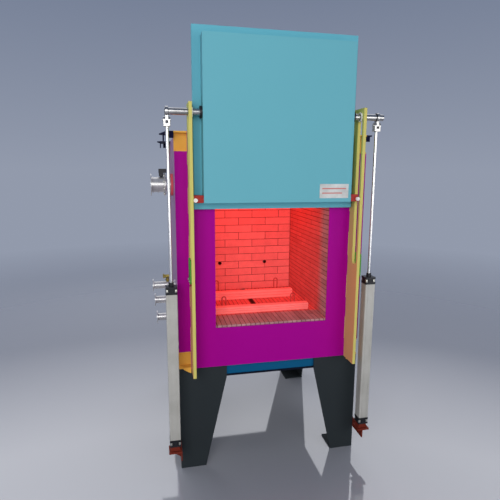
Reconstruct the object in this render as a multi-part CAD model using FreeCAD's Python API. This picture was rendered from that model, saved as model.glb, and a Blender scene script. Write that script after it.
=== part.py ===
"""Chamber kiln with a vertical lifting door carried by two pneumatic cylinders.

Frame of the part: millimetres, +Z up, +X to the right and +Y to the rear.  The origin is on the
floor, at the centre of the four anchor holes in the feet.  Inside this file Y is measured from the
front face of the casing; save() moves every solid back by half the casing depth.
"""
import FreeCAD, Part
import math
import os

Vector = FreeCAD.Vector

# ---- driving dimensions -----------------------------------------------------------------------
FRAME_WIDTH = 1260.0          # front plate, beams and feet, over all
CASING_WIDTH = 1214.0         # over the side panels
CASING_DEPTH = 1330.0         # front plate to rear panel, over all
CASING_BOTTOM = 730.0         # underside of the frame beams
CASING_TOP = 2260.0
PAN_BOTTOM = 648.0            # underside of the floor pan
SHEET = 6.0                   # casing plate thickness

OPENING_WIDTH = 770.0
OPENING_BOTTOM = 1000.0
OPENING_HEIGHT = 800.0

CHAMBER_WIDTH = 780.0
CHAMBER_BACK = 880.0          # Y of the hot face of the back wall
CHAMBER_FLOOR = 1015.0
CHAMBER_ROOF = 1990.0
BRICK = 114.0                 # lining thickness, one brick on its side

BEAM_HEIGHT = 120.0           # rolled steel channel
BEAM_DEPTH = 55.0
BEAM_WEB = 7.0
BEAM_FLANGE = 9.0
BEAM_WINDOW = 78.0            # length of beam left open at each front corner

LEG_SETBACK = 8.0
LEG_PLATE = 10.0
LEG_TOP_WIDTH = 318.0
LEG_FOOT_WIDTH = 170.0
ANCHOR_HOLE = 18.0

GUIDE_INNER = 530.0           # X of the running face
GUIDE_PLATE = 20.0
GUIDE_DEPTH = 147.0
GUIDE_BOTTOM = 728.0
GUIDE_TOP = 2412.0
STOP_PLATE = 10.0
STOP_TOP = 1492.0

DOOR_TRAVEL = 920.0
DOOR_WIDTH = 1035.0
DOOR_BOTTOM = 1790.0          # with the door raised
DOOR_TOP = 2854.0
DOOR_GAP = 5.0                # door back to front plate
DOOR_PANEL = 36.0             # thickness of the back panel
DOOR_SKIN = 4.0
SHELL_WIDTH = 936.0
SHELL_BOTTOM = 1834.0
SHELL_TOP = 2791.0
SHELL_DEPTH = 101.0

SHAFT_Y = -97.0
SHAFT_Z = 2360.0              # with the door raised
SHAFT_RADIUS = 20.0
SHAFT_END = 684.0
SLOT_ROLLER_RADIUS = 28.0
RUNNING = 0.05                # radial clearance of a running fit

CYLINDER_LEFT = 672.0         # distance of each cylinder axis from the middle
CYLINDER_RIGHT = 643.0
CYLINDER_BORE = 50.0
BARREL_SIDE = 68.0
CAP_SIDE = 71.0
CAP_SCREW = 26.25             # cylinder axis to cap screw, along X and along Y
ROD_RADIUS = 10.0
BARREL_BOTTOM = 306.0
BARREL_TOP = 1279.0
HEAD_TOP = 1327.0
GLAND_TOP = 1350.0
BASE_BOTTOM = 259.0
FORK_BOTTOM = 2275.0
PIN_Z = 2310.0
PIN_RADIUS = 8.0

GUIDE_ROLLER_RADIUS = 12.0    # lower rollers of the door
GUIDE_ROLLER_Z = 1851.0
ROLLER_PIN = 4.0

BACK_HOLES = (-225.0, 165.0)  # X of the tubes through the back wall
BACK_HOLE_Z = 1250.0
GROOVE_X = -28.0              # middle of the run-off groove in the hearth
ELEMENT_COUNT = 5             # heating coils under the roof
ELEMENT_PITCH = 130.0

PORT_Y = 760.0                # connections on the left side
UPPER_PORT_Z = 1915.0
UPPER_PORT_RADIUS = 57.0
UPPER_PORT_END = -775.0
LOWER_PORTS = ((1117.0, -785.0), (997.0, -773.0), (852.0, -761.0))   # height and outer end
LOWER_PORT_RADIUS = 29.0
GLAND_BORE = 9.0

# ---- sizes that follow from them --------------------------------------------------------------
FRAME_X = FRAME_WIDTH / 2
CASING_X = CASING_WIDTH / 2
WALL_X = CASING_X - SHEET             # inner face of the side panels
OPENING_X = OPENING_WIDTH / 2
OPENING_TOP = OPENING_BOTTOM + OPENING_HEIGHT
CHAMBER_X = CHAMBER_WIDTH / 2
LINING_X = CHAMBER_X + BRICK
LINING_BACK = CHAMBER_BACK + BRICK
BEAM_FRONT = SHEET                    # beams stand right behind the front plate
BEAM_REAR = BEAM_FRONT + BEAM_DEPTH
LOWER_BEAM_TOP = CASING_BOTTOM + BEAM_HEIGHT
UPPER_BEAM_BOTTOM = CASING_TOP - BEAM_HEIGHT
REAR_LINE = CASING_DEPTH - SHEET      # inner face of the rear panel
GUIDE_OUTER = GUIDE_INNER + GUIDE_PLATE
DOOR_X = DOOR_WIDTH / 2
DOOR_FRONT = -DOOR_GAP - DOOR_PANEL
SHELL_X = SHELL_WIDTH / 2
SHELL_FRONT = DOOR_FRONT - SHELL_DEPTH
FOOT_HOLE_X = FRAME_X - LEG_FOOT_WIDTH / 2
FOOT_HOLE_Y = LEG_SETBACK + LEG_FOOT_WIDTH / 2
GUIDE_ROLLER_X = GUIDE_INNER - 0.6 - GUIDE_ROLLER_RADIUS
ELEMENT_Z = CHAMBER_ROOF - 60


# ---- helpers ----------------------------------------------------------------------------------
def block(x0, x1, y0, y1, z0, z1):
    """Box between two corners."""
    return Part.makeBox(x1 - x0, y1 - y0, z1 - z0, Vector(x0, y0, z0))


def bar(radius, start, axis, length):
    """Solid cylinder from a start point along an axis."""
    return Part.makeCylinder(radius, length, Vector(*start), Vector(*axis))


def tube(outer, inner, start, axis, length):
    """Hollow cylinder."""
    return bar(outer, start, axis, length).cut(bar(inner, start, axis, length))


def plate_xz(points, y0, thickness):
    """Flat plate whose outline lies in the XZ plane."""
    corners = [Vector(x, y0, z) for x, z in points]
    return Part.Face(Part.makePolygon(corners + corners[:1])).extrude(Vector(0, thickness, 0))


def plate_yz(points, x0, thickness):
    """Flat plate whose outline lies in the YZ plane."""
    corners = [Vector(x0, y, z) for y, z in points]
    return Part.Face(Part.makePolygon(corners + corners[:1])).extrude(Vector(thickness, 0, 0))


def plate_xy(points, z0, thickness):
    """Flat plate whose outline lies in the XY plane."""
    corners = [Vector(x, y, z0) for x, y in points]
    return Part.Face(Part.makePolygon(corners + corners[:1])).extrude(Vector(0, 0, thickness))


def fused(first, *others):
    """One welded solid."""
    return first.multiFuse(list(others)).removeSplitter()


def left(shape):
    """Mirror image on the left side."""
    return shape.mirror(Vector(0, 0, 0), Vector(1, 0, 0))


def rear(shape):
    """Mirror image at the rear of the casing."""
    return shape.mirror(Vector(0, CASING_DEPTH / 2, 0), Vector(0, 1, 0))


def both(shape):
    """The right-hand solid and its left-hand mirror image."""
    return [shape, left(shape)]


def each_cylinder(draw):
    """Solids of one cylinder part, drawn for the right and for the left cylinder."""
    return [draw(CYLINDER_RIGHT), left(draw(CYLINDER_LEFT))]


def rounded(shape, radius, axis):
    """Rounds the straight edges that run along one axis."""
    edges = []
    for edge in shape.Edges:
        if edge.Curve.TypeId != "Part::GeomLine":
            continue
        along = edge.Vertexes[1].Point.sub(edge.Vertexes[0].Point)
        if along.Length > 1 and abs(along.normalize().dot(Vector(*axis))) > 0.999:
            edges.append(edge)
    return shape.makeFillet(radius, edges)


def hexagon(across_flats, start, axis, height):
    """Hexagonal bolt head or nut."""
    circle = across_flats / math.sqrt(3)
    points = []
    for step in range(7):
        angle = step * math.pi / 3
        points.append(Vector(circle * math.cos(angle), circle * math.sin(angle), 0))
    head = Part.Face(Part.makePolygon(points)).extrude(Vector(0, 0, height))
    turn = FreeCAD.Rotation(Vector(0, 0, 1), Vector(*axis))
    head.Placement = FreeCAD.Placement(Vector(*start), turn)
    return head


def save(name, *solids):
    """Writes one node; its solids stay separate."""
    shape = solids[0] if len(solids) == 1 else Part.makeCompound(list(solids))
    moved = shape.copy()
    moved.translate(Vector(0, -CASING_DEPTH / 2, 0))
    moved.exportStep("parts/" + name + ".step")


# ---- casing -----------------------------------------------------------------------------------
def front_plate():
    """Plate round the opening, cut back at its corners to show the beams."""
    plate = block(-FRAME_X, FRAME_X, 0, SHEET, CASING_BOTTOM, CASING_TOP)
    opening = block(-OPENING_X, OPENING_X, -1, SHEET + 1, OPENING_BOTTOM, OPENING_TOP)
    corners = []
    for z0, z1 in ((CASING_BOTTOM - 1, LOWER_BEAM_TOP), (UPPER_BEAM_BOTTOM, CASING_TOP + 1)):
        corner = block(FRAME_X - BEAM_WINDOW, FRAME_X + 1, -1, SHEET + 1, z0, z1)
        corners += both(corner)
    return plate.cut([rounded(opening, 4, (0, 1, 0))] + corners)


def channel(z0):
    """Front channel beam, its open side to the front."""
    web = block(-FRAME_X, FRAME_X, BEAM_REAR - BEAM_WEB, BEAM_REAR, z0, z0 + BEAM_HEIGHT)
    lower = block(-FRAME_X, FRAME_X, BEAM_FRONT, BEAM_REAR, z0, z0 + BEAM_FLANGE)
    upper_z = z0 + BEAM_HEIGHT - BEAM_FLANGE
    upper = block(-FRAME_X, FRAME_X, BEAM_FRONT, BEAM_REAR, upper_z, z0 + BEAM_HEIGHT)
    return fused(web, lower, upper)


def bottom_front_beam():
    """Lower beam with the two curved skirts that stiffen it beside the guides."""
    drop = 32.0
    inner = FRAME_X - BEAM_WINDOW
    outer = FRAME_X - 26
    top = CASING_BOTTOM + BEAM_FLANGE
    start = Vector(outer, 0, CASING_BOTTOM)
    middle = Vector((outer + inner) / 2 + 8, 0, CASING_BOTTOM - 0.42 * drop)
    end = Vector(inner, 0, CASING_BOTTOM - drop)
    curve = Part.Arc(start, middle, end).toShape()
    close = Part.makePolygon([end, Vector(inner, 0, top), Vector(outer, 0, top), start])
    outline = Part.Wire([curve] + close.Edges)
    skirts = both(Part.Face(outline).extrude(Vector(0, BEAM_FRONT, 0)))
    return fused(channel(CASING_BOTTOM), *skirts)


def side_panel():
    """Right side panel, notched where the beams pass through."""
    panel = block(WALL_X, CASING_X, SHEET, REAR_LINE, CASING_BOTTOM, CASING_TOP)
    notches = []
    for z0, z1 in ((CASING_BOTTOM - 1, LOWER_BEAM_TOP), (UPPER_BEAM_BOTTOM, CASING_TOP + 1)):
        notch = block(WALL_X - 1, CASING_X + 1, SHEET - 1, BEAM_REAR, z0, z1)
        notches += [notch, rear(notch)]
    return panel.cut(notches)


def rear_panel():
    """Rear panel with holes for the wall tubes and the element ends."""
    panel = block(-CASING_X, CASING_X, REAR_LINE, CASING_DEPTH, CASING_BOTTOM, CASING_TOP)
    return panel.cut(wall_holes())


def floor_pan():
    """Shallow pan under the casing; its bottom plate stands out as a lip."""
    lip = 5.0
    wall = 5.0
    x1 = FRAME_X - LEG_PLATE
    y0 = LEG_SETBACK + LEG_PLATE
    bottom = block(-x1, x1, y0, CASING_DEPTH - y0, PAN_BOTTOM, PAN_BOTTOM + 12)
    x2 = x1 - lip
    y2 = y0 + lip
    outside = block(-x2, x2, y2, CASING_DEPTH - y2, PAN_BOTTOM + 12, CASING_BOTTOM)
    x3 = x2 - wall
    y3 = y2 + wall
    inside = block(-x3, x3, y3, CASING_DEPTH - y3, PAN_BOTTOM + 12, CASING_BOTTOM)
    return fused(bottom, outside.cut(inside))


def leg():
    """Right front leg: two tapered plates at right angles on a foot plate."""
    y0 = LEG_SETBACK
    top_inner = FRAME_X - LEG_TOP_WIDTH
    foot_inner = FRAME_X - LEG_FOOT_WIDTH
    profile = [(FRAME_X, 0), (foot_inner, 0), (top_inner, PAN_BOTTOM), (top_inner, CASING_BOTTOM)]
    face = plate_xz(profile + [(FRAME_X, CASING_BOTTOM)], y0, LEG_PLATE)
    side_top = y0 + LEG_TOP_WIDTH
    side_foot = y0 + LEG_FOOT_WIDTH
    profile = [(y0, 0), (side_foot, 0), (side_top, PAN_BOTTOM), (side_top, CASING_BOTTOM)]
    side = plate_yz(profile + [(y0, CASING_BOTTOM)], FRAME_X - LEG_PLATE, LEG_PLATE)
    foot = block(foot_inner, FRAME_X, y0, side_foot, 0, LEG_PLATE)
    hole = bar(ANCHOR_HOLE / 2, (FOOT_HOLE_X, FOOT_HOLE_Y, -1), (0, 0, 1), LEG_PLATE + 2)
    return fused(face, side, foot).cut(hole)


def lifting_lug():
    """Right front lifting lug on the upper edge of the casing."""
    plate = 8.0
    z0 = CASING_TOP - plate
    outline = [(FRAME_X, 12), (FRAME_X + 42, 12), (FRAME_X + 82, 245), (FRAME_X + 54, 290)]
    outline += [(CASING_X, 290), (CASING_X, BEAM_REAR), (FRAME_X, BEAM_REAR)]
    top = plate_xy(outline, z0, plate).cut(bar(16, (FRAME_X + 22, 170, z0 - 1), (0, 0, 1), plate + 2))
    end = block(FRAME_X, FRAME_X + 28, 12, 20, z0 - 34, z0)
    web = block(FRAME_X + 52, FRAME_X + 59, 150, 280, z0 - 42, z0)
    return fused(top, end, web)


# ---- guides -----------------------------------------------------------------------------------
def guide_plate():
    """Right guide with the long slot that the door shaft runs in."""
    half = SLOT_ROLLER_RADIUS + 1
    low = SHAFT_Z - DOOR_TRAVEL - 1
    high = SHAFT_Z + 1
    plate = block(GUIDE_INNER, GUIDE_OUTER, -GUIDE_DEPTH, 0, GUIDE_BOTTOM, GUIDE_TOP)
    plate = rounded(plate, 2, (0, 0, 1))
    x0 = GUIDE_INNER - 1
    depth = GUIDE_PLATE + 2
    slot = block(x0, x0 + depth, SHAFT_Y - half, SHAFT_Y + half, low, high)
    ends = [bar(half, (x0, SHAFT_Y, z), (1, 0, 0), depth) for z in (low, high)]
    return plate.cut([slot] + ends)


def slot_stop():
    """Right stop plate: a U on the guide that takes the shaft when the door is down."""
    low = SHAFT_Z - DOOR_TRAVEL
    half = SHAFT_RADIUS + 3
    x1 = GUIDE_OUTER + STOP_PLATE
    plate = block(GUIDE_OUTER, x1, SHAFT_Y - 46, SHAFT_Y + 46, 1340, STOP_TOP)
    plate = rounded(plate, 14, (1, 0, 0))
    x0 = GUIDE_OUTER - 1
    throat = block(x0, x1 + 1, SHAFT_Y - half, SHAFT_Y + half, low, STOP_TOP + 1)
    return plate.cut([throat, bar(half, (x0, SHAFT_Y, low), (1, 0, 0), STOP_PLATE + 2)])


# ---- hot chamber ------------------------------------------------------------------------------
def wall_holes():
    """Cutters for the two tubes through the back wall and for the element tubes."""
    y0 = CHAMBER_BACK - 1
    length = CASING_DEPTH + 1 - y0
    cutters = [bar(15, (x, y0, BACK_HOLE_Z), (0, 1, 0), length) for x in BACK_HOLES]
    for x in element_positions():
        cutters.append(bar(11, (x, y0, ELEMENT_Z), (0, 1, 0), length))
    return cutters


def element_positions():
    """X of each roof element."""
    middle = (ELEMENT_COUNT - 1) / 2
    return [(number - middle) * ELEMENT_PITCH for number in range(ELEMENT_COUNT)]


def lining_floor():
    """Hearth slabs: a lower course, and an upper one that leaves the run-off groove open."""
    groove_left = GROOVE_X - 17
    groove_right = GROOVE_X + 17
    groove_start = 300.0
    z0 = CHAMBER_FLOOR - BRICK
    z1 = CHAMBER_FLOOR - 30
    lower = block(-LINING_X, LINING_X, SHEET, LINING_BACK, z0, z1)
    front = block(-LINING_X, LINING_X, SHEET, groove_start, z1, CHAMBER_FLOOR)
    right = block(groove_right, LINING_X, groove_start, CHAMBER_BACK, z1, CHAMBER_FLOOR)
    other = block(-LINING_X, groove_left, groove_start, CHAMBER_BACK, z1, CHAMBER_FLOOR)
    back = block(-LINING_X, LINING_X, CHAMBER_BACK, LINING_BACK, z1, CHAMBER_FLOOR)
    return [lower, front, right, other, back]


def lining_back_wall():
    """Back wall between the side walls."""
    wall = block(-CHAMBER_X, CHAMBER_X, CHAMBER_BACK, LINING_BACK, CHAMBER_FLOOR, CHAMBER_ROOF)
    return wall.cut(wall_holes())


def lining_side_wall():
    """Right side wall."""
    return block(CHAMBER_X, LINING_X, SHEET, LINING_BACK, CHAMBER_FLOOR, CHAMBER_ROOF)


def lining_roof():
    """Roof slab of the chamber."""
    return block(-LINING_X, LINING_X, SHEET, LINING_BACK, CHAMBER_ROOF, CHAMBER_ROOF + BRICK)


def lining_lintel():
    """Brick lintel over the opening."""
    return block(-CHAMBER_X, CHAMBER_X, SHEET, SHEET + BRICK, OPENING_TOP, CHAMBER_ROOF)


def insulation_boards():
    """Fibre boards between lining and casing: right, left, back, floor and roof."""
    z0 = LOWER_BEAM_TOP
    z1 = UPPER_BEAM_BOTTOM
    side = block(LINING_X, WALL_X, SHEET, LINING_BACK, z0, z1)
    back = block(-WALL_X, WALL_X, LINING_BACK, REAR_LINE, z0, z1).cut(wall_holes())
    far = CASING_DEPTH - BEAM_REAR
    inner = FRAME_X - LEG_PLATE - 10
    front = LEG_SETBACK + LEG_PLATE + 10
    in_pan = block(-inner, inner, front, CASING_DEPTH - front, PAN_BOTTOM + 12, CASING_BOTTOM)
    between = block(-WALL_X, WALL_X, BEAM_REAR, far, CASING_BOTTOM, z0)
    under = block(-LINING_X, LINING_X, SHEET, LINING_BACK, z0, CHAMBER_FLOOR - BRICK)
    floor = fused(in_pan, between, under)
    over = block(-LINING_X, LINING_X, SHEET, LINING_BACK, CHAMBER_ROOF + BRICK, z1)
    upper = block(-WALL_X, WALL_X, BEAM_REAR, far, z1, CASING_TOP - SHEET)
    port = bar(UPPER_PORT_RADIUS, (-WALL_X - 1, PORT_Y, UPPER_PORT_Z), (1, 0, 0), BRICK)
    return [side, left(side).cut(port), back, floor, fused(over, upper)]


def load_beam(x0, x1, y0, height):
    """Ribbed refractory beam that carries the load off the hearth."""
    width = 60.0
    rib = height / 6
    top = CHAMBER_FLOOR + height
    core = block(x0, x1, y0 + rib, y0 + width - rib, CHAMBER_FLOOR, top)
    ribs = []
    for row in range(3):
        z = CHAMBER_FLOOR + rib * (2 * row + 1)
        for y in (y0 + rib, y0 + width - rib):
            ribs.append(bar(rib, (x0, y, z), (1, 0, 0), x1 - x0))
    return fused(core, *ribs)


def beam_stop(x, y, height):
    """Upright hoop of round bar behind a load beam."""
    wire = 4.5
    half = 14.0
    bend_z = CHAMBER_FLOOR + height
    legs = [bar(wire, (x + side * half, y, CHAMBER_FLOOR), (0, 0, 1), height) for side in (-1, 1)]
    bend = Part.makeTorus(half, wire, Vector(x, y, bend_z), Vector(0, 1, 0), -180, 180, 360)
    upper = bend.common(block(x - 30, x + 30, y - 10, y + 10, bend_z, bend_z + 40))
    return fused(legs[0], legs[1], upper)


def element_supports():
    """Ceramic tubes that carry the roof coils, and the two hanger bars they rest in."""
    tubes = []
    for x in element_positions():
        tubes.append(tube(11, 7, (x, 130, ELEMENT_Z), (0, 1, 0), CASING_DEPTH + 12 - 130))
    hangers = []
    for y in (150, 840):
        hanger = block(-CHAMBER_X + 20, CHAMBER_X - 20, y, y + 24, ELEMENT_Z - 22, CHAMBER_ROOF)
        holes = [bar(11, (x, y - 1, ELEMENT_Z), (0, 1, 0), 26) for x in element_positions()]
        hangers.append(hanger.cut(holes))
    return tubes + hangers


def element_coils():
    """Resistance spirals on the tubes, each as the sleeve that it fills."""
    return [tube(18, 11.6, (x, 180, ELEMENT_Z), (0, 1, 0), 654) for x in element_positions()]


def wall_tubes():
    """Ceramic tubes through the back wall."""
    length = CASING_DEPTH + 6 - CHAMBER_BACK
    start_y = CHAMBER_BACK
    return [tube(15, 10, (x, start_y, BACK_HOLE_Z), (0, 1, 0), length) for x in BACK_HOLES]


def thermocouple():
    """Sheath in the right-hand wall tube with its connection head behind the casing."""
    x = BACK_HOLES[1]
    end = CASING_DEPTH + 6
    sheath = bar(6, (x, CHAMBER_BACK + 40, BACK_HOLE_Z), (0, 1, 0), end - CHAMBER_BACK - 40)
    collar = bar(18, (x, end, BACK_HOLE_Z), (0, 1, 0), 22)
    head = bar(34, (x, end + 22, BACK_HOLE_Z), (0, 1, 0), 46)
    lid = bar(37, (x, end + 68, BACK_HOLE_Z), (0, 1, 0), 12)
    return fused(sheath, collar, head, lid)


def terminal_cover():
    """Rear cover over the element ends, with a cable gland underneath."""
    y1 = CASING_DEPTH + 90
    z0 = ELEMENT_Z - 80
    z1 = ELEMENT_Z + 80
    outside = rounded(block(-360, 360, CASING_DEPTH, y1, z0, z1), 5, (0, 1, 0))
    inside = block(-357, 357, CASING_DEPTH - 1, y1 - 3, z0 + 3, z1 - 3)
    gland_y = CASING_DEPTH + 45
    neck = bar(16, (0, gland_y, z0 - 10), (0, 0, 1), 12)
    nut = hexagon(36, (0, gland_y, z0 - 24), (0, 0, 1), 14)
    bore = bar(GLAND_BORE, (0, gland_y, z0 - 30), (0, 0, 1), 40)
    return fused(outside.cut(inside), neck, nut).cut(bore)


# ---- connections on the left side -------------------------------------------------------------
def upper_port():
    """Flanged fume outlet that runs from the chamber out through the left side."""
    end = UPPER_PORT_END
    pipe = bar(UPPER_PORT_RADIUS, (end, PORT_Y, UPPER_PORT_Z), (1, 0, 0), -CHAMBER_X - end)
    parts = [pipe]
    for x, radius, thickness in ((end, 84, 6), (-672, 88, 8), (-760, 64, 4), (-722, 64, 4)):
        parts.append(bar(radius, (x, PORT_Y, UPPER_PORT_Z), (1, 0, 0), thickness))
    cutters = [bar(UPPER_PORT_RADIUS - 5, (end - 1, PORT_Y, UPPER_PORT_Z), (1, 0, 0), 500)]
    for number in range(8):
        angle = (number + 0.5) * math.pi / 4
        y = PORT_Y + 74 * math.cos(angle)
        z = UPPER_PORT_Z + 74 * math.sin(angle)
        cutters.append(bar(5, (end - 1, y, z), (1, 0, 0), 120))
    return fused(*parts).cut(cutters)


def upper_port_ring():
    """Ring that seals the outlet on the side panel."""
    return tube(84, UPPER_PORT_RADIUS, (-CASING_X - 18, PORT_Y, UPPER_PORT_Z), (1, 0, 0), 18)


def port_actuator():
    """Damper actuator on top of the fume outlet."""
    z0 = UPPER_PORT_Z + UPPER_PORT_RADIUS - 2
    y0 = PORT_Y - 30
    y1 = PORT_Y + 30
    motor = rounded(block(-714, -655, y0, y1, z0 + 35, z0 + 66), 5, (0, 0, 1))
    gearbox = block(-712, -677, y0 + 6, y1 - 6, z0 + 10, z0 + 36)
    neck = bar(12, (-694, PORT_Y, z0), (0, 0, 1), 12)
    saddle = bar(UPPER_PORT_RADIUS, (-780, PORT_Y, UPPER_PORT_Z), (1, 0, 0), 300)
    return fused(motor, gearbox, neck).cut(saddle)


def lower_port(z, end):
    """Flanged air connection that passes through the side panel."""
    length = -WALL_X - end
    pipe = bar(LOWER_PORT_RADIUS, (end, PORT_Y, z), (1, 0, 0), length)
    flange = bar(50, (end, PORT_Y, z), (1, 0, 0), 6)
    collar = bar(38, (-CASING_X - 8, PORT_Y, z), (1, 0, 0), 8)
    cutters = [bar(LOWER_PORT_RADIUS - 4, (end - 1, PORT_Y, z), (1, 0, 0), length + 2)]
    for number in range(4):
        angle = (number + 0.5) * math.pi / 2
        y = PORT_Y + 40 * math.cos(angle)
        cutters.append(bar(5, (end - 1, y, z + 40 * math.sin(angle)), (1, 0, 0), 8))
    return fused(pipe, flange, collar).cut(cutters)


def brass_elbow():
    """Sampling elbow on top of the highest air connection."""
    z0 = LOWER_PORTS[0][0] + LOWER_PORT_RADIUS
    stub = bar(11, (-668, PORT_Y, z0 - 2), (0, 0, 1), 44)
    nut = hexagon(30, (-668, PORT_Y, z0 + 8), (0, 0, 1), 12)
    arm = bar(13, (-702, PORT_Y, z0 + 42), (1, 0, 0), 47)
    cap = hexagon(32, (-704, PORT_Y, z0 + 42), (1, 0, 0), 12)
    saddle = bar(LOWER_PORT_RADIUS, (-780, PORT_Y, LOWER_PORTS[0][0]), (1, 0, 0), 300)
    return fused(stub, nut, arm, cap).cut(saddle)


# ---- lifting cylinders ------------------------------------------------------------------------
# Each function draws a cylinder part on the right side, round the axis at X = axis.
def upright(radius, x, z0, z1, y=SHAFT_Y):
    """Vertical round solid."""
    return bar(radius, (x, y, z0), (0, 0, 1), z1 - z0)


def square_upright(side, x, z0, z1):
    """Vertical square block, centred on the cylinder axis."""
    half = side / 2
    return block(x - half, x + half, SHAFT_Y - half, SHAFT_Y + half, z0, z1)


def cylinder_barrel(axis):
    """Extruded barrel with its bore and the narrow sensor grooves of each side."""
    barrel = rounded(square_upright(BARREL_SIDE, axis, BARREL_BOTTOM, BARREL_TOP), 5, (0, 0, 1))
    z0 = BARREL_BOTTOM - 1
    z1 = BARREL_TOP + 1
    cutters = [upright(CYLINDER_BORE / 2, axis, z0, z1)]
    edge = BARREL_SIDE / 2
    for shift in (-17, 17):
        for side in (-1, 1):
            x = axis + shift
            y = SHAFT_Y + side * edge
            cutters.append(block(x - 1.5, x + 1.5, y - 1.6, y + 1.6, z0, z1))
            x = axis + side * edge
            y = SHAFT_Y + shift
            cutters.append(block(x - 1.6, x + 1.6, y - 1.5, y + 1.5, z0, z1))
    return barrel.cut(cutters)


def end_cap(axis, z0, z1, pocket_z0, pocket_z1):
    """Square end cap with a screw pocket at each corner."""
    cap = rounded(square_upright(CAP_SIDE, axis, z0, z1), 4, (0, 0, 1))
    pockets = []
    screws = []
    for sx in (-1, 1):
        for sy in (-1, 1):
            x = axis + sx * CAP_SCREW
            y = SHAFT_Y + sy * CAP_SCREW
            x0, x1 = sorted((x - sx * 9, axis + sx * (CAP_SIDE / 2 + 1)))
            y0, y1 = sorted((y - sy * 9, SHAFT_Y + sy * (CAP_SIDE / 2 + 1)))
            pockets.append(block(x0, x1, y0, y1, pocket_z0, pocket_z1))
            screws.append(upright(8, x, pocket_z0, pocket_z1 - 3, y))
    return cap.cut(pockets), screws


def cylinder_head(axis):
    """Upper end cap with the rod gland."""
    cap, screws = end_cap(axis, BARREL_TOP, HEAD_TOP, BARREL_TOP + 15, BARREL_TOP + 36)
    gland = upright(16, axis, HEAD_TOP, GLAND_TOP)
    bore = upright(ROD_RADIUS + RUNNING, axis, BARREL_TOP - 1, GLAND_TOP + 1)
    air = bar(7, (axis, SHAFT_Y - 40, HEAD_TOP - 22), (0, 1, 0), 12)
    return [fused(cap, gland).cut([bore, air])] + screws


def cylinder_base(axis):
    """Lower end cap."""
    cap, screws = end_cap(axis, BASE_BOTTOM, BARREL_BOTTOM, BASE_BOTTOM + 11, BASE_BOTTOM + 32)
    air = bar(7, (axis, SHAFT_Y - 40, BASE_BOTTOM + 24), (0, 1, 0), 12)
    return [cap.cut(air)] + screws


def cylinder_mount(axis):
    """Bracket that stands a cylinder on the side of the front leg."""
    shelf_z = 214.0
    shelf = block(axis - 42, axis + 42, SHAFT_Y - 42, SHAFT_Y + 42, shelf_z, shelf_z + 12)
    top = BASE_BOTTOM
    profile = [(axis - 33, shelf_z + 12), (axis + 33, shelf_z + 12), (axis + 22, top), (axis - 22, top)]
    foot = plate_xz(profile, SHAFT_Y - 26, 52)
    side = block(FRAME_X, FRAME_X + 8, SHAFT_Y - 42, 130, 160, shelf_z + 12)
    outline = [(FRAME_X + 8, 165), (FRAME_X + 8, shelf_z), (axis + 30, shelf_z)]
    gusset = plate_xz(outline, SHAFT_Y - 4, 8)
    return fused(shelf, foot, side, gusset)


def frame_fasteners():
    """Bolt heads of the right side: stop plate and cylinder bracket."""
    bolts = []
    for y in (SHAFT_Y - 30, SHAFT_Y + 30):
        bolts.append(hexagon(13, (GUIDE_OUTER + STOP_PLATE, y, 1362), (1, 0, 0), 6))
    for y in (40, 95):
        bolts.append(hexagon(19, (FRAME_X + 8, y, 192), (1, 0, 0), 8))
    return bolts


def piston_rod(axis):
    """Rod and piston, with the door raised."""
    z0 = BARREL_BOTTOM + DOOR_TRAVEL + 3
    piston = upright(CYLINDER_BORE / 2 - RUNNING, axis, z0, z0 + 32)
    piston = piston.cut(upright(ROD_RADIUS, axis, z0, z0 + 33))
    return [upright(ROD_RADIUS, axis, z0, FORK_BOTTOM + 12), piston]


def rod_fork(axis):
    """Fork on the rod end; it holds the lug of the door shaft."""
    half = 20.0
    slot_z = FORK_BOTTOM + 15.5
    body = square_upright(2 * half, axis, FORK_BOTTOM, PIN_Z)
    crown = bar(half, (axis - half, SHAFT_Y, PIN_Z), (1, 0, 0), 2 * half)
    slot = block(axis - 8.4, axis + 8.4, SHAFT_Y - 30, SHAFT_Y + 30, slot_z, PIN_Z + 30)
    socket = upright(ROD_RADIUS, axis, FORK_BOTTOM - 1, FORK_BOTTOM + 12)
    pin = bar(PIN_RADIUS + RUNNING, (axis - 30, SHAFT_Y, PIN_Z), (1, 0, 0), 60)
    return fused(rounded(body, 3, (0, 0, 1)), crown).cut([slot, socket, pin])


# ---- door, drawn raised -----------------------------------------------------------------------
def door_back_panel():
    """Tray that covers the opening, its open side to the kiln."""
    skin = DOOR_SKIN
    outside = block(-DOOR_X, DOOR_X, DOOR_FRONT, -DOOR_GAP, DOOR_BOTTOM, DOOR_TOP)
    outside = rounded(outside, 3, (0, 1, 0))
    x1 = DOOR_X - skin
    inside = block(-x1, x1, DOOR_FRONT + skin, 0, DOOR_BOTTOM + skin, DOOR_TOP - skin)
    return outside.cut(inside)


def door_insulation():
    """Fibre board that fills the tray."""
    skin = DOOR_SKIN
    x1 = DOOR_X - skin
    return block(-x1, x1, DOOR_FRONT + skin, -DOOR_GAP, DOOR_BOTTOM + skin, DOOR_TOP - skin)


def door_seal():
    """Flat fibre seal round the opening, on the back of the door."""
    z0 = OPENING_BOTTOM + DOOR_TRAVEL
    z1 = OPENING_TOP + DOOR_TRAVEL
    outer = block(-OPENING_X - 45, OPENING_X + 45, -DOOR_GAP, -1, z0 - 45, z1 + 45)
    inner = block(-OPENING_X - 10, OPENING_X + 10, -DOOR_GAP - 1, 0, z0 - 10, z1 + 10)
    return outer.cut(inner)


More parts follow.
